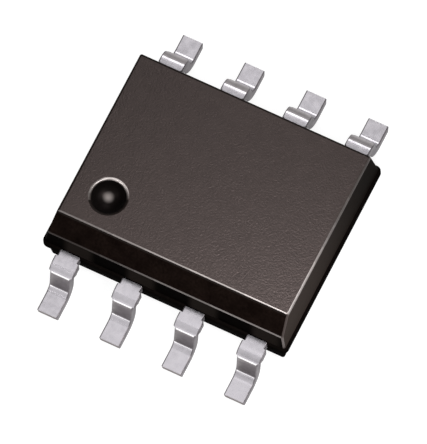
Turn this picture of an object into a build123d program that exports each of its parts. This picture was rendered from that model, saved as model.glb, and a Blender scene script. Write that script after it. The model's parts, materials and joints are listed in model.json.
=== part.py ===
from build123d import *
import math
import os

# An eight-lead small-outline package: a moulded body around a die on its pad, with a row of
# gull-wing leads along each long side. X runs along the body from lead 1 to lead 4, Y runs
# from that row to the row of leads 5 to 8, and Z is up. The feet stand on Z = 0, with the
# middle of the body over the origin. All sizes are in millimetres and degrees.

os.makedirs("parts", exist_ok=True)

# Body, seen from above and measured over the lip at its parting line
body_length = 4.99
body_width = 4.00
lip_ledge = 0.05
lip_thickness = 0.16
lip_corner_radius = 0.11
lip_edge_radius = 0.03

# Body, seen from the end
standoff = 0.15
lower_height = 0.71
upper_height = 0.74
draft_angle = 7.5
bevel_size = 0.35
bevel_overcut = 0.10
edge_radius = 0.04

# Dimple that marks lead 1, placed from the lip
dimple_from_end = 0.875
dimple_from_side = 1.09
dimple_radius = 0.33
dimple_depth = 0.30
dimple_rim_radius = 0.045

# Leads outside the body
lead_pitch = 1.27
lead_reach = 1.00
lead_width = 0.41
lead_thickness = 0.20
leg_angle = 80.0
shoulder_radius = 0.06
heel_radius = 0.18
sole_length = 0.66
tip_undercut = 0.03
dam_width = 0.49
dam_from_lip = 0.09
dam_end_angle = 60.0

# Lead fingers inside the body
finger_gap = 0.20
inner_head_width = 0.75
inner_head_length = 0.30
outer_finger_end = 0.45
anchor_width = 0.55
anchor_length = 0.50
anchor_from_lip = 0.20
anchor_hole_radius = 0.11

# Die pad with its two tie bars
pad_length = 2.90
pad_width = 2.20
pad_corner_radius = 0.10
pad_downset = 0.18
tie_bar_width = 0.30
tie_bar_ramp_offset = 0.15
tie_bar_ramp_angle = 45.0
tie_bar_cover = 0.04

# Die and the adhesive under it
die_length = 1.70
die_width = 1.50
die_thickness = 0.28
attach_margin = 0.06
attach_thickness = 0.03

# Bond wires
wire_diameter = 0.03
wire_loop_height = 0.15
wire_knee_share = 0.25
wire_rise_radius = 0.06
wire_knee_radius = 0.25
wire_overrun = 0.06
ball_radius = 0.035
ball_height = 0.02
stitch_radius = 0.04
stitch_height = 0.01
bond_edge_margin = 0.13
bond_inset = 0.15
inner_bond_x = 0.40
outer_bond_y = 0.45

leads_per_side = 4
lead_count = 2 * leads_per_side

# Heights and plan sizes that follow from the values above
parting_height = standoff + lower_height
body_top = parting_height + upper_height
flank_length = body_length - 2 * lip_ledge
flank_width = body_width - 2 * lip_ledge
pad_top = parting_height - pad_downset
attach_top = pad_top + attach_thickness
die_top = attach_top + die_thickness
loop_top = die_top + wire_loop_height
tip_reach = body_width / 2 + lead_reach
dam_start = body_width / 2 + dam_from_lip


def lead_place(number):
    """X of a lead's centre line, and -1 for the row along -Y or +1 for the row along +Y."""
    if number <= leads_per_side:
        return (number - 1 - (leads_per_side - 1) / 2) * lead_pitch, -1
    return ((leads_per_side - 1) / 2 - (number - 1 - leads_per_side)) * lead_pitch, 1


def is_end_lead(number):
    """True for the leads at the ends of a row, whose fingers reach in past the pad's ends."""
    return number in (1, leads_per_side, leads_per_side + 1, lead_count)


def finger_end(number):
    """Distance from the body's middle to the inner end of a lead's finger."""
    return outer_finger_end if is_end_lead(number) else pad_width / 2 + finger_gap


def make_lead(number):
    """A flat stamped blank, seen from above, cut to the bent strip that is seen from its side."""
    x, side = lead_place(number)
    inner_end = finger_end(number)
    plan_plane = Plane(origin=(x, 0, 0), x_dir=(side, 0, 0), z_dir=(0, 0, 1))
    side_plane = Plane(origin=(x, 0, 0), x_dir=(0, side, 0), z_dir=(side, 0, 0))

    # The bottom line's corners: leg into shoulder, then leg into sole
    heel = tip_reach - sole_length
    shoulder = heel - (parting_height - lead_thickness) / math.tan(math.radians(leg_angle))
    shift = lead_thickness * math.tan(math.radians(leg_angle / 2))
    shoulder_outside = shoulder_radius + lead_thickness
    heel_outside = heel_radius + lead_thickness
    bend_centre = (
        shoulder - shoulder_radius * math.tan(math.radians(leg_angle / 2)),
        parting_height - shoulder_outside,
    )

    with BuildPart() as lead:
        with BuildSketch(plan_plane):
            with Locations((0, (inner_end + tip_reach) / 2)):
                Rectangle(lead_width, tip_reach - inner_end)
            if is_end_lead(number):
                with Locations((0, body_width / 2 - anchor_from_lip - anchor_length / 2)):
                    Rectangle(anchor_width, anchor_length)
                    Circle(anchor_hole_radius, mode=Mode.SUBTRACT)
            else:
                with Locations((0, inner_end + inner_head_length / 2)):
                    Rectangle(inner_head_width, inner_head_length)
        extrude(amount=parting_height)
        with BuildSketch(side_plane):
            with BuildLine():
                top = FilletPolyline(
                    (inner_end, parting_height),
                    (shoulder + shift, parting_height),
                    (heel + shift, lead_thickness),
                    (tip_reach, lead_thickness),
                    radius=[shoulder_outside, heel_radius],
                )
                bottom = FilletPolyline(
                    (inner_end, parting_height - lead_thickness),
                    (shoulder, parting_height - lead_thickness),
                    (heel, 0),
                    (tip_reach - tip_undercut, 0),
                    radius=[shoulder_radius, heel_outside],
                )
                Line(top @ 0, bottom @ 0)
                Line(top @ 1, bottom @ 1)
            make_face()
        extrude(amount=lead_pitch / 2, both=True, mode=Mode.INTERSECT)

        # Stub of the sheared dam bar: the strip is wider from near the lip to the shoulder's bend
        with BuildSketch(side_plane):
            with BuildLine():
                outer = CenterArc(bend_centre, shoulder_outside, 90 - dam_end_angle, dam_end_angle)
                inner = CenterArc(bend_centre, shoulder_radius, 90 - dam_end_angle, dam_end_angle)
                Polyline(
                    outer @ 1,
                    (dam_start, parting_height),
                    (dam_start, parting_height - lead_thickness),
                    inner @ 1,
                )
                Line(outer @ 0, inner @ 0)
            make_face()
        extrude(amount=dam_width / 2, both=True)
    lead.part.label = f"lead_{number}"
    return lead.part


def make_bond_wire(number):
    """Ball on the die, a rise, a knee and a long slope down to the stitch on the finger."""
    x, side = lead_place(number)
    toward_end = math.copysign(1, x)
    if is_end_lead(number):
        start_x = toward_end * (die_length / 2 - bond_edge_margin)
        start_y = side * outer_bond_y
    else:
        start_x = toward_end * inner_bond_x
        start_y = side * (die_width / 2 - bond_edge_margin)
    start = Vector(start_x, start_y, die_top)
    stitch = Vector(x, side * (finger_end(number) + bond_inset), parting_height)
    above = Vector(start_x, start_y, loop_top)
    knee = above + (Vector(stitch.X, stitch.Y, loop_top) - above) * wire_knee_share
    past_stitch = stitch + (stitch - knee).normalized() * wire_overrun

    with BuildPart() as wire:
        with BuildLine():
            wire_radii = [wire_rise_radius, wire_knee_radius]
            path = FilletPolyline(start, above, knee, past_stitch, radius=wire_radii)
        with BuildSketch(Plane(origin=start, z_dir=(0, 0, 1))):
            Circle(wire_diameter / 2)
        sweep(path=path)
        split(bisect_by=Plane.XY.offset(parting_height), keep=Keep.TOP)
        with BuildSketch(Plane.XY.offset(die_top)):
            with Locations((start.X, start.Y)):
                Circle(ball_radius)
        extrude(amount=ball_height)
        with BuildSketch(Plane.XY.offset(parting_height)):
            with Locations((stitch.X, stitch.Y)):
                Circle(stitch_radius)
        extrude(amount=stitch_height)
    wire.part.label = f"bond_wire_{number}"
    return wire.part


# Leads and bond wires, one of each for every number
leads = [make_lead(number) for number in range(1, lead_count + 1)]
bond_wires = [make_bond_wire(number) for number in range(1, lead_count + 1)]
for piece in leads + bond_wires:
    export_step(piece, f"parts/{piece.label}.step")

# Die pad, set down below the fingers and carried by a tie bar at each end
ramp_start = pad_length / 2 + tie_bar_ramp_offset
ramp_end = ramp_start + pad_downset / math.tan(math.radians(tie_bar_ramp_angle))
ramp_shift = lead_thickness * math.tan(math.radians(tie_bar_ramp_angle / 2))
tie_bar_end = flank_length / 2 - tie_bar_cover
with BuildPart() as die_pad:
    with BuildSketch(Plane.XY.offset(pad_top)):
        RectangleRounded(pad_length, pad_width, pad_corner_radius)
    extrude(amount=-lead_thickness)
    with BuildSketch(Plane.XZ):
        with BuildLine():
            Polyline(
                (0, pad_top),
                (ramp_start, pad_top),
                (ramp_end, parting_height),
                (tie_bar_end, parting_height),
                (tie_bar_end, parting_height - lead_thickness),
                (ramp_end + ramp_shift, parting_height - lead_thickness),
                (ramp_start + ramp_shift, pad_top - lead_thickness),
                (0, pad_top - lead_thickness),
                close=True,
            )
        make_face()
        mirror(about=Plane.YZ)
    extrude(amount=tie_bar_width / 2, both=True)
die_pad.part.label = "die_pad"
export_step(die_pad.part, "parts/die_pad.step")

# Adhesive between the pad and the die
with BuildPart() as die_attach:
    with BuildSketch(Plane.XY.offset(pad_top)):
        Rectangle(die_length + 2 * attach_margin, die_width + 2 * attach_margin)
    extrude(amount=attach_thickness)
die_attach.part.label = "die_attach"
export_step(die_attach.part, "parts/die_attach.step")

# Silicon die
with BuildPart() as die:
    with BuildSketch(Plane.XY.offset(attach_top)):
        Rectangle(die_length, die_width)
    extrude(amount=die_thickness)
die.part.label = "die"
export_step(die.part, "parts/die.step")

# Upper half of the moulded body, drawn in by its draft and bevelled along leads 1 to 4
bevel_foot = flank_width / 2 - (upper_height - bevel_size) * math.tan(math.radians(draft_angle))
bevel_low = (-bevel_foot - bevel_overcut, body_top - bevel_size - bevel_overcut)
bevel_high = (-bevel_foot + bevel_size + bevel_overcut, body_top + bevel_overcut)
with BuildPart() as upper_half:
    with BuildSketch(Plane.XY.offset(parting_height)):
        Rectangle(flank_length, flank_width)
    extrude(amount=upper_height, taper=draft_angle)
    with BuildSketch(Plane.YZ):
        with BuildLine():
            Polyline(bevel_low, bevel_high, (bevel_low[0], bevel_high[1]), close=True)
        make_face()
    extrude(amount=body_length, both=True, mode=Mode.SUBTRACT)
    fillet(upper_half.edges() - upper_half.edges().group_by(Axis.Z)[0], edge_radius)

# Moulded body: one solid that fills the space round everything it holds
bowl_radius = (dimple_radius**2 + dimple_depth**2) / (2 * dimple_depth)
dimple_x = dimple_from_end - body_length / 2
dimple_y = dimple_from_side - body_width / 2
with BuildPart() as body:
    # Lip at the parting line, with the upper half on it
    with BuildSketch(Plane.XY.offset(parting_height)):
        RectangleRounded(body_length, body_width, lip_corner_radius)
    extrude(amount=-lip_thickness)
    lip_loops = body.edges().group_by(Axis.Z)
    fillet(lip_loops[0] + lip_loops[-1], lip_edge_radius)
    add(upper_half.part)

    # Lower half
    with BuildSketch(Plane.XY.offset(parting_height - lip_thickness)):
        RectangleRounded(flank_length, flank_width, lip_corner_radius)
    extrude(amount=-(lower_height - lip_thickness), taper=draft_angle)

    # Dimple for lead 1
    with Locations((dimple_x, dimple_y, body_top - dimple_depth + bowl_radius)):
        Sphere(bowl_radius, mode=Mode.SUBTRACT)
    fillet(body.edges(Select.LAST).sort_by(Axis.Z)[-1], dimple_rim_radius)

    # Room for everything that is moulded in
    add(leads, mode=Mode.SUBTRACT)
    add([die_pad.part, die_attach.part, die.part], mode=Mode.SUBTRACT)
    add(bond_wires, mode=Mode.SUBTRACT)
body.part.label = "body"
export_step(body.part, "parts/body.step")

box = body.part.bounding_box()
print(f"body {box.size.X:.3f} x {box.size.Y:.3f} x {box.size.Z:.3f}, volume {body.part.volume:.4f}")
print(f"lead tips {2 * tip_reach:.2f} apart, top at {body_top:.2f}")
print(f"solids in the body {len(body.part.solids())}")
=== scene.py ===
# %% [markdown]
# # A small-outline chip package
# The real object is a block of black filled epoxy about 5 mm long. It is moulded round a stamped
# copper frame, whose eight leads come out at the sides, are plated with tin and bent down to the
# board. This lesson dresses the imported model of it: the pieces that show are drawn again as fine
# surfaces with round edges, and every piece gets a finish. Lengths are in metres, but for those
# that a comment or a docstring gives in millimetres.

# %% Load the frame
import json
import math

import bpy
import numpy as np
from mathutils import Matrix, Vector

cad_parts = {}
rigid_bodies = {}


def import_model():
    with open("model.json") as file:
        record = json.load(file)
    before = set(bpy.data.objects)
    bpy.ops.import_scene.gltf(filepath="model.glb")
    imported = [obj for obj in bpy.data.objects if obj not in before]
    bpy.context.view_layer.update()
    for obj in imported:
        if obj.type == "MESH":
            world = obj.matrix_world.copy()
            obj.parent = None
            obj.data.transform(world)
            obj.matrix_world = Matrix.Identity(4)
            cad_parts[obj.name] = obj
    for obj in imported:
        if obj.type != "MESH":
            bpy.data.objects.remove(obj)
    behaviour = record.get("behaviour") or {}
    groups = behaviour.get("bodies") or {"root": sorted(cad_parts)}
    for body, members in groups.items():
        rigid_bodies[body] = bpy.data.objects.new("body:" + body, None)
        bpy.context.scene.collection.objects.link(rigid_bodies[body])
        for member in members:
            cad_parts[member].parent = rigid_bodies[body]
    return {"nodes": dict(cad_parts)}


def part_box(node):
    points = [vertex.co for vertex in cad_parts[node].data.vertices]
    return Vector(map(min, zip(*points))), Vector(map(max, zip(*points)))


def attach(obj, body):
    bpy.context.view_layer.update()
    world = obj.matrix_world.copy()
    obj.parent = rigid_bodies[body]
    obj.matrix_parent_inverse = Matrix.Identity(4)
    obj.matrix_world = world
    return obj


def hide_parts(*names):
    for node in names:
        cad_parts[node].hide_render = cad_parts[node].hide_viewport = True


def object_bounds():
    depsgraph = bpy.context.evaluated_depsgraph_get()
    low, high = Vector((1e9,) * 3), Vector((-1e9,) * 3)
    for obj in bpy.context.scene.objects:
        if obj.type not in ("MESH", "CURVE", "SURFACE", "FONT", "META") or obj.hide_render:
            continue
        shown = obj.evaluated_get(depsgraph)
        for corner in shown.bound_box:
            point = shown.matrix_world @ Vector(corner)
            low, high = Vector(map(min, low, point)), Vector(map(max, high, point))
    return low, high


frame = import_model()
cad_low, cad_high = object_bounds()
MM = 0.001
print("nodes in the frame:", len(frame["nodes"]), "box", [round(x / MM, 3) for x in cad_high - cad_low])

# %% [markdown]
# ## The camera
# The photograph was taken with a long lens, from high above the bevelled side and turned a little.
# A camera can be placed by eye or worked out. Here it is worked out: its direction, its roll, its
# distance and the scale of the picture were found from the corners of the body and the feet. The
# aim is a point inside the body that has to fall on a known pixel, so the camera is slid sideways
# by that pixel's distance from the middle of the picture, and the lens needs no shift.

# %% Camera
PHOTO_WIDTH, PHOTO_HEIGHT = 427, 444
SENSOR = 36.0
view_azimuth = math.radians(32.025)
view_elevation = math.radians(69.052)
view_roll = math.radians(-5.960)
view_distance = 193.0 * MM
pixels_per_metre = 54.738 / MM
body_middle = (0.0, 0.0, 0.8)  # in millimetres
aim_pixel = (212.101, 205.971)

flat = math.cos(view_elevation)
backward = np.array([
    math.sin(view_azimuth) * flat, -math.cos(view_azimuth) * flat, math.sin(view_elevation),
])
level = np.array([math.cos(view_azimuth), math.sin(view_azimuth), 0.0])
upright = np.cross(backward, level)
right = level * math.cos(view_roll) + upright * math.sin(view_roll)
up = upright * math.cos(view_roll) - level * math.sin(view_roll)
slide_right = (PHOTO_WIDTH / 2 - aim_pixel[0]) / pixels_per_metre
slide_up = (aim_pixel[1] - PHOTO_HEIGHT / 2) / pixels_per_metre

eye = np.array(body_middle) * MM + backward * view_distance + right * slide_right + up * slide_up
camera_data = bpy.data.cameras.new("camera")
camera_data.sensor_width = SENSOR
camera_data.lens = SENSOR * pixels_per_metre * view_distance / PHOTO_HEIGHT
camera_data.clip_start = view_distance / 10
camera_data.clip_end = view_distance * 10
camera = bpy.data.objects.new("camera", camera_data)
placing = np.vstack([np.column_stack([right, up, backward, eye]), [0, 0, 0, 1]])
camera.matrix_world = Matrix(placing.tolist())
bpy.context.scene.collection.objects.link(camera)
bpy.context.scene.camera = camera
print("camera lens", round(camera_data.lens), "mm, eye at", [round(x / MM, 1) for x in eye], "mm")

# %% [markdown]
# ## Surfaces from grids
# Every new piece below is a closed skin worked out as a grid of points: one parameter runs round
# the piece, the other from one end of it to the other. Blender's own shapes and a bevel modifier
# could do it too, but a grid says exactly where each edge starts to turn. Each face of the grid
# joins two rows, and a fan closes each end.

# %% Grid to mesh
def skin(name, rows, start, end, finishes, finish_of_face, sharp_angle=35.0):
    """A closed mesh from rows of points, each row going round once.

    rows has the shape (rows, points round, 3). start and end are the points that close the first
    and the last row with a fan. The face between row i, row i + 1, point j and point j + 1 has the
    corners (i, j), (i, j + 1), (i + 1, j + 1) and (i + 1, j), with j counted modulo the row.
    finish_of_face gives the index of the finish for the start fan, each band and the end fan: one
    number for each, or a number for every face going round. An edge that turns by more than
    sharp_angle, in degrees, is shaded sharp.
    """
    count, around = rows.shape[:2]
    points = np.vstack([rows.reshape(-1, 3), start, end])
    j = np.arange(around)
    following = (j + 1) % around
    base = np.arange(count - 1)[:, None] * around
    quads = np.stack([base + j, base + following, base + around + following, base + around + j], axis=-1)
    last = (count - 1) * around
    opening = np.stack([np.full(around, count * around), following, j], axis=-1)
    closing = np.stack([np.full(around, count * around + 1), last + j, last + following], axis=-1)
    faces = opening.tolist() + quads.reshape(-1, 4).tolist() + closing.tolist()
    mesh = bpy.data.meshes.new(name)
    mesh.from_pydata(points.tolist(), [], faces)
    for finish in finishes:
        mesh.materials.append(finish)
    finish_index = np.array(finish_of_face, dtype=np.int32).reshape(count + 1, -1)
    mesh.polygons.foreach_set("material_index", np.broadcast_to(finish_index, (count + 1, around)).ravel())
    mesh.polygons.foreach_set("use_smooth", np.ones(len(faces), dtype=bool))
    mesh.set_sharp_from_angle(angle=math.radians(sharp_angle))
    mesh.validate()
    piece = bpy.data.objects.new(name, mesh)
    bpy.context.scene.collection.objects.link(piece)
    return piece


# %% [markdown]
# ## Finishes: how they are built
# A finish is a Principled shader whose colour, roughness and bump come from noise on the object's
# own coordinates. An image could do the same, but noise has no seams and stays sharp close up.
# The helper adds a node, sets its sockets and returns it, so that each finish reads as a recipe.

# %% Node helpers
def new_finish(name):
    """A material with its node tree emptied but for one Principled shader and the output."""
    finish = bpy.data.materials.new(name)
    finish.use_nodes = True
    tree = finish.node_tree
    tree.nodes.clear()
    shader = tree.nodes.new("ShaderNodeBsdfPrincipled")
    output = tree.nodes.new("ShaderNodeOutputMaterial")
    tree.links.new(shader.outputs["BSDF"], output.inputs["Surface"])
    return finish, tree, shader


def add(tree, kind, sockets=(), **settings):
    """A node of that kind. sockets maps an input to a value, or to an output that is linked to it."""
    node = tree.nodes.new(kind)
    for setting, value in settings.items():
        setattr(node, setting, value)
    for socket, value in dict(sockets).items():
        if isinstance(value, bpy.types.NodeSocket):
            tree.links.new(value, node.inputs[socket])
        else:
            node.inputs[socket].default_value = value
    return node


def noise(tree, grain_size, detail=2.0, roughness=0.5):
    """Noise on the object's coordinates whose spots are about grain_size across, in metres."""
    coordinates = add(tree, "ShaderNodeTexCoord")
    return add(tree, "ShaderNodeTexNoise", {
        "Vector": coordinates.outputs["Object"],
        "Scale": 1 / grain_size,
        "Detail": detail,
        "Roughness": roughness,
    }).outputs["Fac"]


def spread(tree, value, low, high):
    """A noise value, which lies mostly between 0.3 and 0.7, spread over low to high."""
    return add(tree, "ShaderNodeMapRange", {
        "Value": value, "From Min": 0.3, "From Max": 0.7, "To Min": low, "To Max": high,
    }).outputs["Result"]


def soft_range(tree, value, start, end):
    """0 up to start and 1 from end on, with a soft turn at both."""
    return add(tree, "ShaderNodeMapRange", {
        "Value": value, "From Min": start, "From Max": end, "To Min": 0.0, "To Max": 1.0,
    }, interpolation_type="SMOOTHSTEP").outputs["Result"]


def blend_colours(tree, share, first, second):
    """first where share is 0 and second where it is 1. Each is a colour, or an output with one."""
    ends = [end if isinstance(end, bpy.types.NodeSocket) else (*end, 1) for end in (first, second)]
    sockets = {"Factor": share, "A": ends[0], "B": ends[1]}
    return add(tree, "ShaderNodeMix", sockets, data_type="RGBA").outputs["Result"]


def add_bump(tree, shader, height, height_range):
    """Raises the surface by height times height_range, in metres."""
    bump = add(tree, "ShaderNodeBump", {"Height": height, "Distance": height_range, "Strength": 1.0})
    tree.links.new(bump.outputs["Normal"], shader.inputs["Normal"])


# %% [markdown]
# ## Mould compound
# The body is one casting, but the mould gave its faces different skins. The top was spark-eroded,
# which leaves a fine leathery grain. The bevel and the flanks slid out of the mould along their
# draft and are smoother and darker. The front flank is darker still as painted shade, and the right
# flank lighter as painted light. The lip at the parting line and the lower half are dull, and darker
# as painted shade. The dimple was made by a polished pin. One recipe with a row of values for each
# skin makes them all, so that a change to the recipe reaches every face.

# %% Mould skins
WARM = (1.0, 0.80, 0.765)
TONE_LIFT = 0.2
ROUGHNESS_SPAN = 0.03


def compound(name, dark, light, roughness, gloss, grain_size, grain_height, tint=WARM):
    """Filled epoxy: two near-black tones mixed by noise, and a bump of grain_height in metres.

    The tone is the fine noise times the coarse noise, lifted by TONE_LIFT.
    """
    finish, tree, shader = new_finish(name)
    grain = noise(tree, grain_size, detail=3.0, roughness=0.55)
    mottle = noise(tree, 6 * grain_size)
    tone = add(tree, "ShaderNodeMath", {0: grain, 1: mottle, 2: TONE_LIFT}, operation="MULTIPLY_ADD")
    colour = blend_colours(tree, spread(tree, tone.outputs[0], 0, 1), dark, light)
    tree.links.new(colour, shader.inputs["Base Color"])
    uneven = spread(tree, mottle, roughness - ROUGHNESS_SPAN, roughness + ROUGHNESS_SPAN)
    tree.links.new(uneven, shader.inputs["Roughness"])
    add_bump(tree, shader, grain, grain_height)
    shader.inputs["Specular IOR Level"].default_value = gloss
    shader.inputs["Specular Tint"].default_value = (*tint, 1)
    return finish


edge_dark, edge_light = (0.012, 0.009, 0.008), (0.018, 0.013, 0.011)

# Name, dark tone, light tone, roughness, gloss, size of the grain and its height
mould_skins = [
    ("mould_grained_top", (0.008, 0.006, 0.0055), (0.013, 0.010, 0.009), 0.45, 0.60, 35e-6, 13.0e-6),
    ("mould_sheen_edge", edge_dark, edge_light, 0.40, 1.0, 40e-6, 0.1e-6),
    ("mould_soft_edge", (0.006, 0.0045, 0.004), (0.009, 0.007, 0.006), 0.30, 0.05, 40e-6, 0.3e-6),
    ("mould_satin_bevel", (0.0018, 0.0009, 0.0007), (0.0077, 0.0046, 0.0036), 0.35, 0.012, 45e-6, 0.8e-6),
    ("mould_satin_flank", (0.0045, 0.003, 0.0027), (0.0075, 0.0055, 0.005), 0.35, 0.002, 45e-6, 0.8e-6),
    # Painted shade: the front flank is a darker copy of the flank skin
    ("mould_front_flank_painted_shade_and_reflection", (0.001, 0.0008, 0.0007), (0.003, 0.0022, 0.002), 0.35, 0.0005, 45e-6, 0.8e-6),
    # Painted light: the right flank is a lighter copy of the flank skin
    ("mould_right_flank_painted_light", (0.006, 0.0048, 0.004), (0.010, 0.0078, 0.0065), 0.45, 0.002, 45e-6, 0.8e-6),
    # The lip and the lower half are dull flash, and also a near-black copy as painted shade
    ("mould_dull_lip_painted_shade", (0.0020, 0.0015, 0.0013), (0.0042, 0.0031, 0.0028), 0.60, 0.0005, 30e-6, 0.8e-6),
    ("mould_polished_dimple", (0.0015, 0.0011, 0.001), (0.0025, 0.002, 0.0018), 0.45, 0.08, 60e-6, 0.2e-6),
]
MOULD = [compound(*values) for values in mould_skins]
GRAINED, SHEEN, SOFT, BEVELLED, SATIN, FRONT_FLANK_SHADED, RIGHT_FLANK_LIT, DULL_SHADED, POLISHED = range(len(MOULD))
print("mould skins:", [finish.name for finish in MOULD])

# %% [markdown]
# ## Worn edges
# Handling rubs the edges bright, and most of all near the front right corner. A bright edge sends
# back more of the light than plain epoxy does. The share could be blended along the edge inside
# one finish, but a linked refractive index doesn't travel with the model. So ten finishes are
# made, each with its own share, and every face of an edge later takes the nearest of them.

# %% Worn edges
EDGE_TINT = (1.0, 0.91, 0.88)


def worn_edge(number, reflection):
    """Edge compound that sends back that share of the light straight on.

    With the specular level at 1 the share is 2 * r^2, where r = (n - 1) / (n + 1), so the
    refractive index is n = (1 + r) / (1 - r).
    """
    name = f"mould_worn_edge_{number}"
    finish = compound(name, edge_dark, edge_light, 0.40, 1.0, 40e-6, 0.1e-6, EDGE_TINT)
    r = math.sqrt(reflection / 2)
    finish.node_tree.nodes["Principled BSDF"].inputs["IOR"].default_value = (1 + r) / (1 - r)
    return finish


worn_levels = np.array([0.02, 0.04, 0.07, 0.10, 0.14, 0.19, 0.25, 0.32, 0.40, 0.50])
WORN = len(MOULD)
MOULD += [worn_edge(number, level) for number, level in enumerate(worn_levels)]
print("worn edges:", len(worn_levels), "reflecting", worn_levels.min(), "to", worn_levels.max())

# %% [markdown]
# ## Tones by position
# Three skins carry another tone in one place, and each is a piece of painted light. In the dimple
# it is a painted highlight, the soft glint of a lamp. On the front flank it is a painted reflection
# of each lead, which the white sheet would drown. The right flank gets lighter toward the front,
# as painted light. Lamps could do some of this, but paint stays where it is laid when the part is turned.

# %% Tones by position
PITCH = 1.27 * MM
spot_tone = (0.175, 0.155, 0.148)
spot_centre = (-1.675 * MM, -0.835 * MM, 1.312 * MM)
spot_radius = 0.135 * MM
lit_tone = (0.014, 0.011, 0.0095)
lit_offset = 0.15 * MM
lit_start, lit_end = 0.17 * MM, 0.36 * MM
# Painted light on the right flank: its tone grows lighter toward the front
painted_light_tone = (0.040, 0.031, 0.027)
painted_light_start, painted_light_end = -1.6 * MM, 1.8 * MM


def paint_over(finish, colour, measure):
    """Lays a colour over a finish. measure adds nodes and returns the share of the old tone that stays."""
    tree = finish.node_tree
    shader = tree.nodes["Principled BSDF"]
    tone = shader.inputs["Base Color"].links[0].from_socket
    coordinates = add(tree, "ShaderNodeTexCoord")
    share = measure(tree, coordinates.outputs["Object"])
    tree.links.new(blend_colours(tree, share, colour, tone), shader.inputs["Base Color"])


def off_the_spot(tree, place):
    """How far from the middle of the dimple's spot, as a share of its radius."""
    distance = add(tree, "ShaderNodeVectorMath", {0: place, 1: spot_centre}, operation="DISTANCE")
    return soft_range(tree, distance.outputs["Value"], 0.0, spot_radius)


def between_leads(tree, place):
    """How far from the nearest lead: x runs up and down like a saw between 0 and half the pitch."""
    x = add(tree, "ShaderNodeSeparateXYZ", {0: place}).outputs["X"]
    from_lead = add(tree, "ShaderNodeMath", {0: x, 1: -PITCH / 2 - lit_offset}, operation="ADD")
    saw = add(tree, "ShaderNodeMath", {0: from_lead.outputs[0], 1: PITCH / 2}, operation="PINGPONG")
    return soft_range(tree, saw.outputs[0], lit_start, lit_end)


def toward_the_back(tree, place):
    """0 at the front of the part and 1 at its back."""
    y = add(tree, "ShaderNodeSeparateXYZ", {0: place}).outputs["Y"]
    return soft_range(tree, y, painted_light_start, painted_light_end)


paint_over(MOULD[POLISHED], spot_tone, off_the_spot)
paint_over(MOULD[FRONT_FLANK_SHADED], lit_tone, between_leads)
paint_over(MOULD[RIGHT_FLANK_LIT], painted_light_tone, toward_the_back)
print("painted by position:", [MOULD[number].name for number in (POLISHED, FRONT_FLANK_SHADED, RIGHT_FLANK_LIT)])

# %% [markdown]
# ## Sizes of the body
# The length, the width and the height come from the node of the frame, and the rest was measured
# in the photograph. The wear tables say how bright an edge is: each pair is a place along the edge
# and the share of the light that it sends back there.

# %% Body sizes
body_low, body_high = (np.array(corner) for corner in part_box("body"))
half_length, half_width, top = body_high
bottom = body_low[2]
parting = bottom + 0.71 * MM
lip_thickness = 0.16 * MM
lip_ledge = 0.05 * MM
lip_corner = 0.11 * MM
lip_edge = 0.03 * MM
draft = math.radians(7.5)
bevel = 0.35 * MM
bevel_slope = math.radians(45)
edge = 0.04 * MM
foot_edge = 0.02 * MM
brow_corner = edge / 8
dimple_centre = np.array([0.875 * MM - half_length, 1.09 * MM - half_width])
dimple_radius = 0.33 * MM
dimple_depth = 0.30 * MM
rim_edge = 0.045 * MM

# Places in millimetres along x, along y and along x
front_wear = [(-1.76, 0.13), (-0.88, 0.20), (0.0, 0.27), (0.88, 0.31), (1.76, 0.38)]
right_wear = [(-1.17, 0.36), (-0.51, 0.26), (0.15, 0.13), (0.81, 0.09), (1.47, 0.07)]
foot_wear = [(-1.61, 0.02), (-1.15, 0.04), (-0.69, 0.08), (-0.23, 0.12), (0.69, 0.15), (1.15, 0.18)]
front_wear_end = math.radians(54)
right_wear_start = math.radians(80)

# Places in degrees round the rim, from its brightest direction
rim_wear = [
    (-100, 0.03), (-85, 0.20), (-60, 0.50), (-30, 0.50), (10, 0.40), (28, 0.13), (60, 0.17), (100, 0.05),
]
rim_middle = 116
rim_end = rim_wear[-1][0]
print("body", [round(x / MM, 3) for x in body_high - body_low], "mm, parting at", round(parting / MM, 3))

# %% [markdown]
# ## The outline that goes round the body
# Seen from above, every level of the body is a rectangle with round corners. A level is made from
# four corner centres and a radius: a point on a side is a share of the way between two centres,
# pushed out square to the side, and a point on a corner is pushed out at its own angle. The same
# shares and angles serve every level, so the rows of the grid line up from top to bottom.

# %% Shares and angles round the body
corner_steps = 8
side_step = 0.12 * MM
turn_step = math.radians(3)
side_samples = 400


def corner_centres(front, back, side, radius):
    """Corner centres of a level, anticlockwise: (+x, -y), (+x, +y), (-x, +y), (-x, -y)."""
    return np.array([
        [side - radius, radius - front], [side - radius, back - radius],
        [radius - side, back - radius], [radius - side, radius - front],
    ])


def side_shares(start, end):
    """Shares along one side, close enough for both the side and the dimple.

    A measure grows along the side by its length over side_step plus the turn seen from the
    dimple's centre over turn_step, and the shares are where it passes whole parts of its total.
    """
    fine = np.linspace(0, 1, side_samples)
    line = start + (end - start) * fine[:, None] - dimple_centre
    turn = np.unwrap(np.arctan2(line[:, 1], line[:, 0]))
    measure = fine * np.linalg.norm(end - start) / side_step + np.abs(turn - turn[0]) / turn_step
    parts = math.ceil(measure[-1])
    return np.interp(np.arange(1, parts) * measure[-1] / parts, measure, fine)


reference = corner_centres(half_width, half_width, half_length, edge)
here, there, share, angle = [], [], [], []
for number in range(4):
    turning = np.linspace(number - 1, number, corner_steps + 1) * math.pi / 2
    along = side_shares(reference[number], reference[(number + 1) % 4])
    here += [number] * (len(turning) + len(along))
    there += [(number + 1) % 4] * (len(turning) + len(along))
    share += [0.0] * len(turning) + along.tolist()
    angle += turning.tolist() + [number * math.pi / 2] * len(along)
share = np.array(share)[:, None]
outward = np.column_stack([np.cos(angle), np.sin(angle)])


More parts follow.
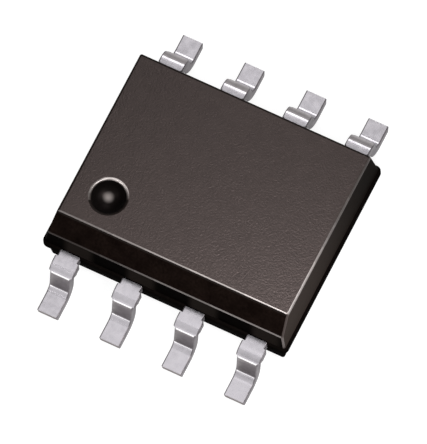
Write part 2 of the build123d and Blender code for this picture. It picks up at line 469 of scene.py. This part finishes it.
def level_row(z, front, back, side, radius):
    """One row of the body's grid at height z."""
    centres = corner_centres(front, back, side, radius)
    flat_points = centres[here] * (1 - share) + centres[there] * share + outward * radius
    return np.column_stack([flat_points, np.full(len(flat_points), z)])


print("points round the body:", len(share))

# %% [markdown]
# ## Finishes round the body
# A band of faces goes round the whole body, but its finish changes from side to side, and a worn
# edge also changes along its length. Both are worked out for every face of a band at once.

# %% Finishes round the body
corner_turn = 0.1
side_turn = 0.5


def finish_round(front, corner, right, rest):
    """Finish of each face of a band.

    A face belongs to the front right corner if it looks right and forward, each by more than
    corner_turn, and to the front or the right side if it looks there by more than side_turn.
    """
    toward_x, toward_y = (outward + np.roll(outward, -1, axis=0)).T / 2
    in_corner = (toward_x > corner_turn) & (toward_y < -corner_turn)
    return np.select([in_corner, toward_y < -side_turn, toward_x > side_turn], [corner, front, right], rest)


def worn(where, wear):
    """The worn finish of each face: the level nearest to the reflection that wear gives for its place."""
    places, reflections = zip(*wear)
    wanted = np.interp(where, places, reflections)
    return WORN + np.abs(worn_levels - wanted[:, None]).argmin(axis=1)


outline = level_row(0.0, half_width, half_width, half_length, edge)
x_round, y_round = ((outline + np.roll(outline, -1, axis=0)) / 2).T[:2]
front_edge = worn(x_round / MM, front_wear)
right_edge = worn(y_round / MM, right_wear)
foot_line = worn(x_round / MM, foot_wear)
print("levels of wear on the front edge, the right edge and the bevel's foot:",
      [len(set(line)) for line in (front_edge, right_edge, foot_line)])

# %% [markdown]
# ## Section of the body
# The flanks lean in by the draft angle above and below the lip. Where two faces meet, an arc of
# the edge radius is tangent to both. An arc is followed by the tilt of its normal above the
# horizon: at tilt e it stands radius * cos(e) out from its centre and radius * sin(e) above it.
# The bevelled side has two such arcs, one at the bevel's foot and one at the top.

# %% Section of the body
lean = math.tan(draft)
flank_side = half_length - lip_ledge
flank_width = half_width - lip_ledge


def arc_centre_out(reach, tilt, z):
    """How far out the centre of an edge arc lies at height z, if the arc touches a face there.

    The face stands at reach where z is zero, its normal is tilted up by tilt, and the distance
    from the arc's centre to it is the edge radius.
    """
    return reach - (edge + z * math.sin(tilt)) / math.cos(tilt)


rise = top - parting
top_centre = rise - edge
side_centre = arc_centre_out(flank_side, draft, top_centre)
back_centre = arc_centre_out(flank_width, draft, top_centre)
bevel_foot_z = rise - bevel
bevel_reach = flank_width - bevel_foot_z * lean + bevel_foot_z * math.tan(bevel_slope)
front_centre = arc_centre_out(bevel_reach, bevel_slope, top_centre)

# The arc at the bevel's foot touches the flank and the bevel, so its centre solves both
foot_centre_z = (
    (bevel_reach - edge / math.cos(bevel_slope)) - (flank_width - edge / math.cos(draft))
) / (math.tan(bevel_slope) - lean)
foot_centre = arc_centre_out(flank_width, draft, foot_centre_z)
foot_low = foot_centre_z + edge * math.sin(draft)
foot_high = foot_centre_z + edge * math.sin(bevel_slope)
print("bevel foot arc at", round(foot_centre_z / MM, 3), "mm above the parting line")


def side_reach(z):
    """Distance from the middle to the flank of a short side at height z above the parting line."""
    return flank_side - z * lean


def back_reach(z):
    """The same for the long side without a bevel."""
    return flank_width - z * lean


def front_reach(z):
    """The same for the bevelled side: flank, arc at the bevel's foot, then the bevel."""
    if z <= foot_low:
        return back_reach(z)
    if z >= foot_high:
        return bevel_reach - z * math.tan(bevel_slope)
    return foot_centre + math.sqrt(edge**2 - (z - foot_centre_z) ** 2)


# %% [markdown]
# ## The dimple and the flat top
# The dimple is a bowl, a piece of a sphere, and its rim is rounded. Its rows are circles about its
# own centre, with a point in the direction of each point of the outline, so the flat top between
# the rim and the edge is a fan of straight lines. A row a few microns from each arc, called a
# hold, keeps the flat faces flat when they are shaded smooth.

# %% Rows of the dimple and the flat top
hold = 0.008 * MM
bowl_parts, rim_parts, flat_parts = 24, 10, 8
rows, bands = [], []


def add_row(row, finish):
    """Appends a row and the finish of the band that leads to it."""
    rows.append(row)
    bands.append(finish)


bowl = (dimple_radius**2 + dimple_depth**2) / (2 * dimple_depth)
bowl_centre_z = top - dimple_depth + bowl
rim_drop = bowl_centre_z - (top - rim_edge)
rim_centre = math.sqrt((bowl + rim_edge) ** 2 - rim_drop**2)
bowl_end = math.acos(rim_drop / (bowl + rim_edge))
brow = level_row(top, front_centre, back_centre, side_centre, brow_corner)
toward_brow = brow[:, :2] - dimple_centre
compass = toward_brow / np.linalg.norm(toward_brow, axis=1, keepdims=True)
rim_turn = (np.degrees(np.arctan2(compass[:, 1], compass[:, 0])) - rim_middle + 180) % 360 - 180
rim_finish = np.where(np.abs(rim_turn) > rim_end, SOFT, worn(rim_turn, rim_wear))


def circle_row(radius, z):
    """A row of the dimple at that radius and height."""
    return np.column_stack([dimple_centre + compass * radius, np.full(len(compass), z)])


for polar in np.linspace(0, bowl_end, bowl_parts + 1)[1:]:
    add_row(circle_row(bowl * math.sin(polar), bowl_centre_z - bowl * math.cos(polar)), POLISHED)
for tilt in np.linspace(math.pi / 2 - bowl_end, math.pi / 2, rim_parts + 1)[1:]:
    z = top - rim_edge + rim_edge * math.sin(tilt)
    add_row(circle_row(rim_centre - rim_edge * math.cos(tilt), z), rim_finish)

rim_row = circle_row(rim_centre + hold, top)
add_row(rim_row, rim_finish)
for part in np.linspace(0, 1, flat_parts + 1)[1:-1]:
    add_row(rim_row + (brow - rim_row) * part, GRAINED)
add_row(brow - np.column_stack([compass * hold, np.zeros(len(compass))]), GRAINED)
add_row(brow, finish_round(front_edge, SHEEN, GRAINED, SOFT))
print("rows of the dimple and the top:", len(rows), "- rim radius", round(rim_centre / MM, 3), "mm")

# %% [markdown]
# ## Down to the parting line
# Round the top edge and down the flanks every row is a level. The top edge is worn where the light
# finds it: on the bevelled side along its upper part, on the right side below its upper part. The
# edge at the bevel's foot is one thin worn line.

# %% Rows of the top edge and the flanks
edge_parts, flank_parts, foot_parts = 14, 5, 7

for tilt in np.linspace(math.pi / 2, draft, edge_parts + 1)[1:]:
    z = top_centre + edge * math.sin(tilt)
    out = edge * math.cos(tilt)
    front = front_centre + out if tilt >= bevel_slope else front_reach(z)
    worn_front = front_edge if tilt > front_wear_end else SOFT
    worn_right = right_edge if tilt < right_wear_start else SOFT
    add_row(level_row(parting + z, front, back_centre + out, side_centre + out, max(out, brow_corner)),
            finish_round(worn_front, SHEEN, worn_right, SOFT))

shoulder_z = top_centre + edge * math.sin(draft)
foot_tilts = np.linspace(bevel_slope, draft, foot_parts + 1)[1:]
upper_levels = [*np.linspace(shoulder_z - hold, foot_high + hold, flank_parts + 1), foot_high]
upper_levels += [foot_centre_z + edge * math.sin(tilt) for tilt in foot_tilts]
upper_levels += [*np.linspace(foot_low - hold, 0, flank_parts + 1)]
for z in upper_levels:
    if z < foot_low - hold / 2:
        front_finish = FRONT_FLANK_SHADED
    elif z < foot_high + hold / 2:
        front_finish = foot_line
    else:
        front_finish = BEVELLED
    add_row(level_row(parting + z, front_reach(z), back_reach(z), side_reach(z), edge),
            finish_round(front_finish, SHEEN, RIGHT_FLANK_LIT, SATIN))
print("rows down to the parting line:", len(rows))

# %% [markdown]
# ## Lip and lower half
# The lip is where the two halves of the mould met: a band 0.16 mm high that stands 0.05 mm proud
# all round, with rounder corners than the flanks above it. Below it the body leans in again to its
# plain underside.

# %% Rows of the lip and the lower half
lip_parts, lower_parts, sole_parts = 7, 4, 6
underside_shares = (0.99, 0.75, 0.5, 0.25, 0.1)
lip_side = half_length - lip_edge
lip_width = half_width - lip_edge
lip_arcs = [
    (parting - lip_edge, np.linspace(math.pi / 2, 0, lip_parts + 1)),
    (parting - lip_thickness + lip_edge, np.linspace(0, -math.pi / 2, lip_parts + 1)),
]
for centre_z, tilts in lip_arcs:
    for tilt in tilts:
        out = lip_edge * math.cos(tilt)
        z = centre_z + lip_edge * math.sin(tilt)
        corner = lip_corner - lip_edge + out
        add_row(level_row(z, lip_width + out, lip_width + out, lip_side + out, corner), DULL_SHADED)


def lower_row(z, out):
    """A row of the lower half at height z, moved out from where the flanks leave the lip."""
    add_row(level_row(z, flank_width + out, flank_width + out, flank_side + out, lip_corner + out), DULL_SHADED)


lower_top = parting - lip_thickness
for z in np.linspace(lower_top, bottom + foot_edge, lower_parts + 1):
    lower_row(z, -(lower_top - z) * lean)
draw_in = (lower_top - bottom - foot_edge) * lean + foot_edge
for tilt in np.linspace(0, -math.pi / 2, sole_parts + 1)[1:]:
    lower_row(bottom + foot_edge + foot_edge * math.sin(tilt), foot_edge * math.cos(tilt) - draw_in)
underside_edge = rows[-1].copy()
middle = np.array([0.0, 0.0, bottom])
for part in underside_shares:
    add_row(middle + (underside_edge - middle) * part, DULL_SHADED)

# The rows are turned round so that the faces look outwards, and the finishes of the faces with them
finish_of_face = np.array([np.broadcast_to(band, len(outward)) for band in bands + [DULL_SHADED]])
body = skin(
    "mould_body", np.array(rows)[:, ::-1], [[*dimple_centre, top - dimple_depth]], [middle],
    MOULD, np.roll(finish_of_face[:, ::-1], -1, axis=1), sharp_angle=40.0)
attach(body, "root")
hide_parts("body")
print("body:", len(body.data.vertices), "points,", len(body.data.polygons), "faces")

# %% [markdown]
# ## Leads
# A lead is a flat strip, stamped from sheet and bent in a press: level where it leaves the body,
# round the shoulder, down the leg, round the heel and level again along the foot. It is the same
# section carried along a path whose slope changes only in the two bends. Along the shoulder the
# strip is a little wider, because the bar that tied the leads together during moulding was sheared
# off there. Its length inside the body is a wide head or anchor that the epoxy grips.

# %% Lead sizes
strip = 0.20 * MM
strip_edge = 0.022 * MM
half_strip = 0.205 * MM
half_dam = 0.245 * MM
dam_from_lip = 0.09 * MM
dam_turn = math.radians(60)
cut_run = 0.025 * MM
leg_slope = math.radians(80)
shoulder_radius = 0.06 * MM
heel_radius = 0.18 * MM
sole_length = 0.66 * MM
tip_undercut = 0.03 * MM
tip_edge = 0.012 * MM
undercut_run = 0.10 * MM
half_head = 0.375 * MM
head_length = 0.30 * MM
half_anchor = 0.275 * MM
anchor_start, anchor_end = 1.30 * MM, 1.80 * MM
end_leads = (1, 4, 5, 8)

tip_reach = cad_high[1]
strip_height = parting - strip / 2
heel = tip_reach - sole_length
shoulder = heel - (parting - strip) / math.tan(leg_slope)
shoulder_bend = shoulder_radius + strip / 2
heel_bend = heel_radius + strip / 2
shoulder_start = shoulder - shoulder_radius * math.tan(leg_slope / 2)
foot_start = heel + (heel_radius + strip) * math.tan(leg_slope / 2)
leg_drop = strip_height - strip / 2 - (shoulder_bend + heel_bend) * (1 - math.cos(leg_slope))
leg_length = leg_drop / math.sin(leg_slope)
dam_start = half_width + dam_from_lip - shoulder_start
dam_end = dam_turn * shoulder_bend - cut_run
print("leg", round(leg_length / MM, 3), "mm long, shoulder starts", round(shoulder_start / MM, 3), "mm out")

# %% [markdown]
# ## Path of a strip
# The path of the strip is found from its slope. Along each straight the slope is steady, and round
# each bend it changes evenly, so the slope is a plain broken line over the length. Each step of the
# path is the chord of its own arc, and adding up the steps gives the path exactly.

# %% Path and widths of a strip
highlight_start = math.radians(56)
highlight_end = math.radians(64)
run_parts = (12, 24, 10, 20, 14)
change_parts = 6
tip_parts = 5


def runs_from(inner_end):
    """Lengths along the middle line: inner end to shoulder, shoulder, leg, heel and foot."""
    return [0, shoulder_start - inner_end, shoulder_bend * leg_slope, leg_length, heel_bend * leg_slope,
            tip_reach - foot_start]


def path_of(lengths, inner_end):
    """Slope, distance out and height of the strip's middle line at each length from its inner end.

    Over a step of length d in which the slope turns by c, the chord is d * sin(c / 2) / (c / 2) and
    lies at the mean slope. Distance out and height are running sums of the chords' parts.
    """
    runs = runs_from(inner_end)
    slope = np.interp(lengths, np.cumsum(runs), [0, 0, leg_slope, leg_slope, 0, 0])
    chord = np.diff(lengths) * np.sinc(np.diff(slope) / math.tau)
    mean = (slope[1:] + slope[:-1]) / 2
    out = inner_end + np.concatenate([[0], np.cumsum(chord * np.cos(mean))])
    height = strip_height - np.concatenate([[0], np.cumsum(chord * np.sin(mean))])
    return slope, out, height


def smooth_step(lengths, start):
    """0 before start and 1 after start + cut_run, with a soft turn between: 3 t^2 - 2 t^3."""
    t = np.clip((lengths - start) / cut_run, 0, 1)
    return t * t * (3 - 2 * t)


def rows_along(inner_end, grip_start, grip_end):
    """Lengths of the rows, and the ends of the runs.

    There are even steps in each run and closer ones at each change of width and at the tip, and a
    row where the finish changes in a bend. Lengths are rounded to a nanometre, so that equal ones
    become one.
    """
    ends = np.cumsum(runs_from(inner_end))
    lengths = [np.linspace(ends[k], ends[k + 1], parts + 1) for k, parts in enumerate(run_parts)]
    for start in (grip_start, grip_end, ends[1] + dam_start, ends[1] + dam_end):
        lengths.append(np.linspace(start, start + cut_run, change_parts + 1))
    lengths.append(ends[1] + shoulder_bend * np.array([highlight_start, highlight_end]))
    lengths.append(ends[4] - heel_bend * np.array([highlight_start, highlight_end]))
    lengths.append(ends[-1] - tip_edge * (1 - np.sin(np.linspace(0, math.pi / 2, tip_parts + 1))))
    lengths = np.unique(np.round(np.concatenate(lengths), 9))
    return lengths[(lengths >= 0) & (lengths <= ends[-1])], ends


# %% [markdown]
# ## Section of a strip
# The section is a rectangle with round edges. It is followed clockwise, seen from the tip, so that
# the faces point outwards: each corner turns through a right angle, and a point just beyond each
# turn holds the flat face flat. A face that looks sideways by more than a small part counts as
# stamped side, which takes in most of the round edge, so the darker stamped finish lays painted
# shade on the round edges too.

# %% Section of a strip
side_hold = 0.005 * MM
edge_steps = 6
stamped_turn = 0.125


def section_outline():
    """Signs, holds, cosines and sines for the points round the section, clockwise from the top left."""
    across_sign, up_sign, across_hold, up_hold, turn = [], [], [], [], []
    for across, upward, start in ((1, 1, 90), (1, -1, 0), (-1, -1, -90), (-1, 1, -180)):
        angles = np.linspace(start, start - 90, edge_steps)
        on_level = upward * across > 0
        holds = [(side_hold, 0) if on_level else (0, side_hold)]
        holds += [(0, 0)] * edge_steps
        holds += [(0, side_hold) if on_level else (side_hold, 0)]
        across_sign += [across] * len(holds)
        up_sign += [upward] * len(holds)
        across_hold += [hold_pair[0] for hold_pair in holds]
        up_hold += [hold_pair[1] for hold_pair in holds]
        turn += [start, *angles, start - 90]
    turn = np.radians(turn)
    return (np.array(across_sign), np.array(up_sign), np.array(across_hold), np.array(up_hold),
            np.cos(turn), np.sin(turn))


across_sign, up_sign, across_hold, up_hold, turn_cos, turn_sin = section_outline()
on_side = np.abs(turn_cos + np.roll(turn_cos, -1)) / 2 > stamped_turn
print("points round a strip:", len(across_sign), "- faces of the stamped sides:", on_side.sum())

# %% [markdown]
# ## Tin plate
# The leads are plated with matte tin: a soft grey metal with a faint lilac cast. Its crystals are
# too fine to see, but they scatter light, so the shine is broad. Handling leaves cloudy patches.
# Along each bend of the front row a bright line is a painted highlight, and the leg between them
# is darker as painted shade. The back row has the painted highlight line at the heel, and its
# shoulder is darker as painted shade. The stamped sides are rougher, and they and most of the round
# edges beside them are darker, partly as painted shade. The tip was sheared after plating, so its
# end shows bare copper alloy gone dull.

# %% Tin plate
CLOUD_SPAN = 0.04


def metal(name, dark, light, roughness, grain_size, grain_height):
    """A metal with two tones mixed by cloudy noise, uneven roughness and a fine bump."""
    finish, tree, shader = new_finish(name)
    cloud = noise(tree, 4 * grain_size, detail=3.0)
    grain = noise(tree, grain_size)
    tree.links.new(blend_colours(tree, spread(tree, cloud, 0, 1), dark, light), shader.inputs["Base Color"])
    uneven = spread(tree, cloud, roughness + CLOUD_SPAN, roughness - CLOUD_SPAN)
    tree.links.new(uneven, shader.inputs["Roughness"])
    add_bump(tree, shader, grain, grain_height)
    shader.inputs["Metallic"].default_value = 1.0
    return finish


# Name, dark tone, light tone, roughness, size of the grain and its height
lead_skins = [
    ("tin_matte_plate", (0.41, 0.392, 0.418), (0.455, 0.435, 0.462), 0.22, 30e-6, 0.4e-6),
    # Painted highlight: a near-white band where each bend catches the light
    ("tin_painted_highlight_line", (0.90, 0.88, 0.90), (0.96, 0.94, 0.96), 0.20, 30e-6, 0.2e-6),
    # Painted shade: the back row's shoulder is a darker copy of the plate
    ("tin_shaded_shoulder", (0.28, 0.26, 0.265), (0.33, 0.308, 0.314), 0.40, 30e-6, 0.4e-6),
    # Painted shade: the front row's leg is a darker copy of the plate
    ("tin_shaded_leg", (0.20, 0.185, 0.19), (0.25, 0.232, 0.238), 0.42, 30e-6, 0.4e-6),
    # The stamped side is rough, and darker partly as painted shade
    ("tin_stamped_side_shaded", (0.16, 0.15, 0.16), (0.22, 0.20, 0.21), 0.55, 30e-6, 0.8e-6),
    ("copper_sheared_tip", (0.12, 0.10, 0.10), (0.18, 0.15, 0.15), 0.55, 25e-6, 1.2e-6),
]
LEAD = [metal(*values) for values in lead_skins]
PLATED, HIGHLIGHT_LINE, SHADED_SHOULDER, SHADED_LEG, STAMPED_SHADED, SHEARED = range(len(LEAD))
print("lead finishes:", [finish.name for finish in LEAD])

# %% [markdown]
# ## The eight leads
# Each lead is made in the frame of its CAD node, from which it takes its row, its place along the
# body and its inner end. The strip is drawn for the back row, and turned half round for the front
# row. The finish of a face follows from the slope of the strip there.

# %% Leads
shaded_shoulder_slope = math.radians(18)
back_highlight_slope = math.radians(50)


def make_lead(number):
    """A strip carried along its path, in the frame of its CAD node, then turned to its own row."""
    low, high = (np.array(corner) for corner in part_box(f"lead_{number}"))
    side = 1 if high[1] > -low[1] else -1
    place = (low[0] + high[0]) / 2
    inner_end = min(abs(low[1]), abs(high[1]))
    if number in end_leads:
        grip_start, grip_end, half_grip = anchor_start - inner_end, anchor_end - inner_end, half_anchor
    else:
        grip_start, grip_end, half_grip = -cut_run, head_length, half_head

    lengths, ends = rows_along(inner_end, grip_start, grip_end)
    slope, out, height = path_of(lengths, inner_end)
    dam = smooth_step(lengths, ends[1] + dam_start) - smooth_step(lengths, ends[1] + dam_end)
    grip = smooth_step(lengths, grip_start) - smooth_step(lengths, grip_end)
    half = half_strip + (half_dam - half_strip) * dam + (half_grip - half_strip) * grip

    # Near the tip the section shrinks along a quarter circle, which rounds the end's edges
    before_tip = np.clip(1 - (ends[-1] - lengths) / tip_edge, 0, 1)
    inset = (tip_edge * (1 - np.sqrt(1 - before_tip**2)))[:, None]
    radius = strip_edge - inset
    across = across_sign * (half[:, None] - inset - radius - across_hold) + radius * turn_cos
    thick = up_sign * (strip / 2 - inset - radius - up_hold) + radius * turn_sin
    undercut = np.clip(1 - (ends[-1] - lengths) / undercut_run, 0, 1)[:, None]
    pull = tip_undercut * undercut * (strip / 2 - thick) / strip
    slope, out, height = slope[:, None], out[:, None], height[:, None]
    rows = np.stack([across, out + thick * np.sin(slope) - pull, height + thick * np.cos(slope)], axis=-1)
    start, end = rows[0].mean(axis=0), rows[-1].mean(axis=0)

    # The bands follow the slope: painted highlight lines in the bends, painted shade on the back shoulder
    # and the front leg
    mean_slope = (slope[:-1, 0] + slope[1:, 0]) / 2
    in_heel = lengths[1:] > ends[3]
    if side == 1:
        steep_bands = [
            (~in_heel & (mean_slope > shaded_shoulder_slope), SHADED_SHOULDER),
            (in_heel & (mean_slope > back_highlight_slope), HIGHLIGHT_LINE),
        ]
    else:
        steep_bands = [(mean_slope > highlight_start, HIGHLIGHT_LINE), (mean_slope > highlight_end, SHADED_LEG)]
    finish_of_face = np.tile(np.where(on_side, STAMPED_SHADED, PLATED), (len(rows) + 1, 1))
    for steep, finish in steep_bands:
        finish_of_face[1:-1][steep] = np.where(on_side, STAMPED_SHADED, finish)
    finish_of_face[-1] = SHEARED

    turned = np.array([side, side, 1])
    shift = np.array([place, 0, 0])
    piece = skin(f"tin_lead_{number}", rows * turned + shift, [start * turned + shift],
                 [end * turned + shift], LEAD, finish_of_face)
    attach(piece, "root")
    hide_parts(f"lead_{number}")
    return piece


leads = [make_lead(number) for number in range(1, 9)]
print("leads:", len(leads), "of", len(leads[0].data.polygons), "faces each")

# %% [markdown]
# ## The pieces inside
# The epoxy hides the die, its pad, the adhesive and the gold wires. They stay as the frame has
# them, and still get their true finishes, because the part may be opened up in a cutaway.

# %% Inner pieces
NO_TINT = (1.0, 1.0, 1.0)
inner_finishes = {
    "die_pad": metal("copper_pad_strip", (0.56, 0.30, 0.20), (0.66, 0.38, 0.27), 0.38, 40e-6, 0.6e-6),
    "die_attach": compound("adhesive_silver_filled", (0.34, 0.33, 0.31), (0.44, 0.43, 0.41), 0.5, 0.5,
                           20e-6, 1.0e-6, NO_TINT),
    "die": metal("silicon_polished", (0.055, 0.058, 0.075), (0.075, 0.078, 0.095), 0.16, 60e-6, 0.05e-6),
}
gold = metal("gold_wire_drawn", (0.80, 0.58, 0.24), (0.88, 0.66, 0.30), 0.28, 10e-6, 0.1e-6)
inner_finishes.update({f"bond_wire_{number}": gold for number in range(1, 9)})
for node_name, finish in inner_finishes.items():
    frame["nodes"][node_name].data.materials.clear()
    frame["nodes"][node_name].data.materials.append(finish)
print("inner pieces finished:", len(inner_finishes))

# %% [markdown]
# ## Floor
# The photograph's paper is pure white. The floor is a grey sheet, and to the camera, to glossy and
# to transmitted rays it also glows, which lifts it to white without putting more light on the chip
# and leaves a pale shadow. A white sheet under strong lamps would be simpler, but it would wash
# out the black epoxy.

# %% Floor
floor_reach = 1.0
sheet_grey = (0.25, 0.25, 0.25, 1)
glow_strength = 0.90

floor_mesh = bpy.data.meshes.new("paper_floor")
floor_corners = [(-floor_reach, -floor_reach, 0), (floor_reach, -floor_reach, 0),
                 (floor_reach, floor_reach, 0), (-floor_reach, floor_reach, 0)]
floor_mesh.from_pydata(floor_corners, [], [(0, 1, 2, 3)])
floor = bpy.data.objects.new("paper_floor", floor_mesh)
bpy.context.scene.collection.objects.link(floor)

paper = bpy.data.materials.new("white_paper")
paper.use_nodes = True
paper_tree = paper.node_tree
paper_tree.nodes.clear()
rays = add(paper_tree, "ShaderNodeLightPath")
camera_or_glossy = add(paper_tree, "ShaderNodeMath", {
    0: rays.outputs["Is Camera Ray"], 1: rays.outputs["Is Glossy Ray"]}, operation="MAXIMUM")
seen = add(paper_tree, "ShaderNodeMath", {
    0: camera_or_glossy.outputs[0], 1: rays.outputs["Is Transmission Ray"]}, operation="MAXIMUM")
glow_level = add(paper_tree, "ShaderNodeMath", {0: seen.outputs[0], 1: glow_strength}, operation="MULTIPLY")
sheet = add(paper_tree, "ShaderNodeBsdfDiffuse", {"Color": sheet_grey})
glow = add(paper_tree, "ShaderNodeEmission", {"Color": (1, 1, 1, 1), "Strength": glow_level.outputs[0]})
both = add(paper_tree, "ShaderNodeAddShader", {0: sheet.outputs[0], 1: glow.outputs[0]})
add(paper_tree, "ShaderNodeOutputMaterial", {"Surface": both.outputs[0]})
floor_mesh.materials.append(paper)
print("floor", 2 * floor_reach, "m wide, glow", glow_strength)

# %% [markdown]
# ## Light
# A grey world fills every direction without a lamp. The lamps are panels close to the chip, for
# what a small shiny object shows is what it mirrors. The two sky panels overhead give the top its
# grey, and the round key softbox over the front right makes it lighter there. The front panel is
# mirrored in the top edge of the bevelled side and in the front row of leads, the low front strip
# in the edge at the bevel's foot, and the back panel in the back row, where the back lamp draws
# the white line along each shoulder. The rim lamp makes the crescent on the dimple's rim, and the
# side lamp lights the right flank and its edge. One large softbox would be simpler, but it would
# leave the top flat and the edges without their lines.

# %% World
ROOM_GREY = (0.25, 0.25, 0.25, 1)
world = bpy.data.worlds.new("grey_room")
world.use_nodes = True
world.node_tree.nodes["Background"].inputs["Color"].default_value = ROOM_GREY
world.node_tree.nodes["Background"].inputs["Strength"].default_value = 1.0
bpy.context.scene.world = world


# %% Lamps
def lamp(name, place, aim, width, height, radiance, shape="RECTANGLE"):
    """An area lamp whose face has that radiance, at place and turned to aim; lengths in millimetres.

    Its power in watts is 4 times the radiance times the area, and an ellipse has pi / 4 of the
    area of its rectangle.
    """
    light = bpy.data.lights.new(name, "AREA")
    light.shape = shape
    light.size = width * MM
    light.size_y = height * MM
    area = width * height * MM**2 * (math.pi / 4 if shape == "ELLIPSE" else 1)
    light.energy = radiance * area * 4
    piece = bpy.data.objects.new(name, light)
    toward = np.array(aim, float) - np.array(place, float)
    toward /= np.linalg.norm(toward)
    sideways = np.cross(toward, [0.0, 0.0, 1.0])
    sideways /= np.linalg.norm(sideways)
    upward = np.cross(sideways, toward)
    turn = np.column_stack([sideways, upward, -toward])
    placing = np.vstack([np.column_stack([turn, np.array(place) * MM]), [0, 0, 0, 1]])
    piece.matrix_world = Matrix(placing.tolist())
    piece.visible_camera = False
    bpy.context.scene.collection.objects.link(piece)


# Name, place, aim, width, height and radiance. The sky panels lean by a hair, which says where
# their sides point
lamps = [
    ("sky_panel", (-1.4, -1.6, 7.0), (-1.4, -1.599, 0.0), 5.7, 6.4, 0.90),
    ("back_sky", (-1.5, 5.0, 7.0), (-1.5, 5.001, 0.0), 5.8, 1.8, 0.95),
    ("front_panel", (-3.8, -15.8, 12.6), body_middle, 8.0, 21.0, 0.70),
    ("back_panel", (-3.8, 18.2, 8.3), body_middle, 8.0, 13.0, 0.45),
    ("back_lamp", (-3.8, 15.2, 14.8), body_middle, 8.0, 6.0, 2.6),
    ("key_softbox", (4.2, -2.6, 8.6), body_middle, 3.0, 3.0, 34.0, "ELLIPSE"),
    ("rim_lamp", (-9.7, -11.9, 13.5), (-1.6, -0.9, 1.6), 3.0, 3.0, 12.0),
    ("front_strip", (0, -20, 2.0), body_middle, 24.0, 3.8, 0.85),
    ("side_lamp", (10.9, 2.1, 9.1), (2.4, -1.0, 1.6), 3.0, 3.0, 6.4),
]
for values in lamps:
    lamp(*values)
bpy.context.scene.view_settings.view_transform = "Standard"
print("lamps:", len(lamps))
